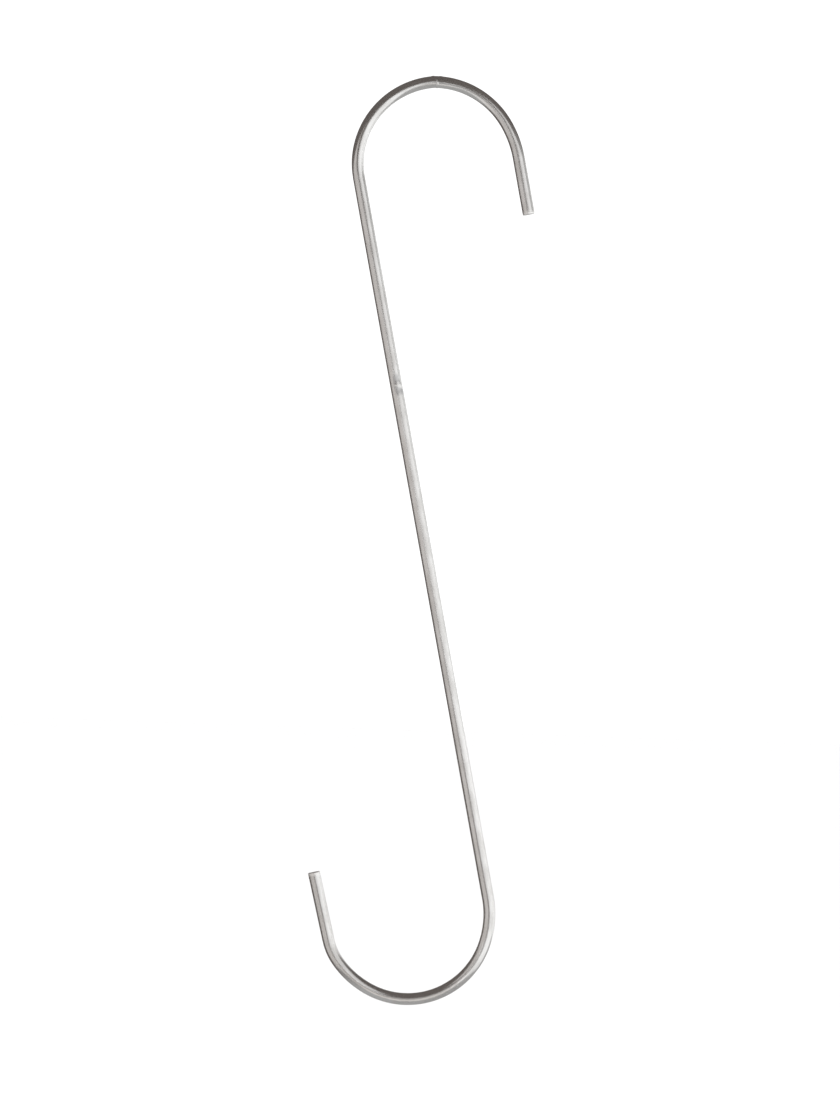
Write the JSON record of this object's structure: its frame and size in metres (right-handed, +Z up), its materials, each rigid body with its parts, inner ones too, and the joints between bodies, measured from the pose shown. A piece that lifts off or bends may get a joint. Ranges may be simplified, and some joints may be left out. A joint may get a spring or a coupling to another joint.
{
  "type": "meat hook",
  "caption": "Long, slender open S hook bent from round stainless steel bar; the upper bend hangs over a rail and the lower bend holds meat. Plain square-cut tips.",
  "frame": {"origin": "point on the inside of the upper bend that rests on the rail, on the bar's mid plane", "axes": "+Z up along the line of pull, the hook lies in the XZ plane, +X towards the upper tip"},
  "size_m": [0.068, 0.004, 0.3099],
  "materials": {
    "bright_steel": "bright drawn stainless steel, lightly polished along the bar"
  },
  "bodies": {
    "root": {"hook_bar": "bright_steel"}
  },
  "joints": []
}
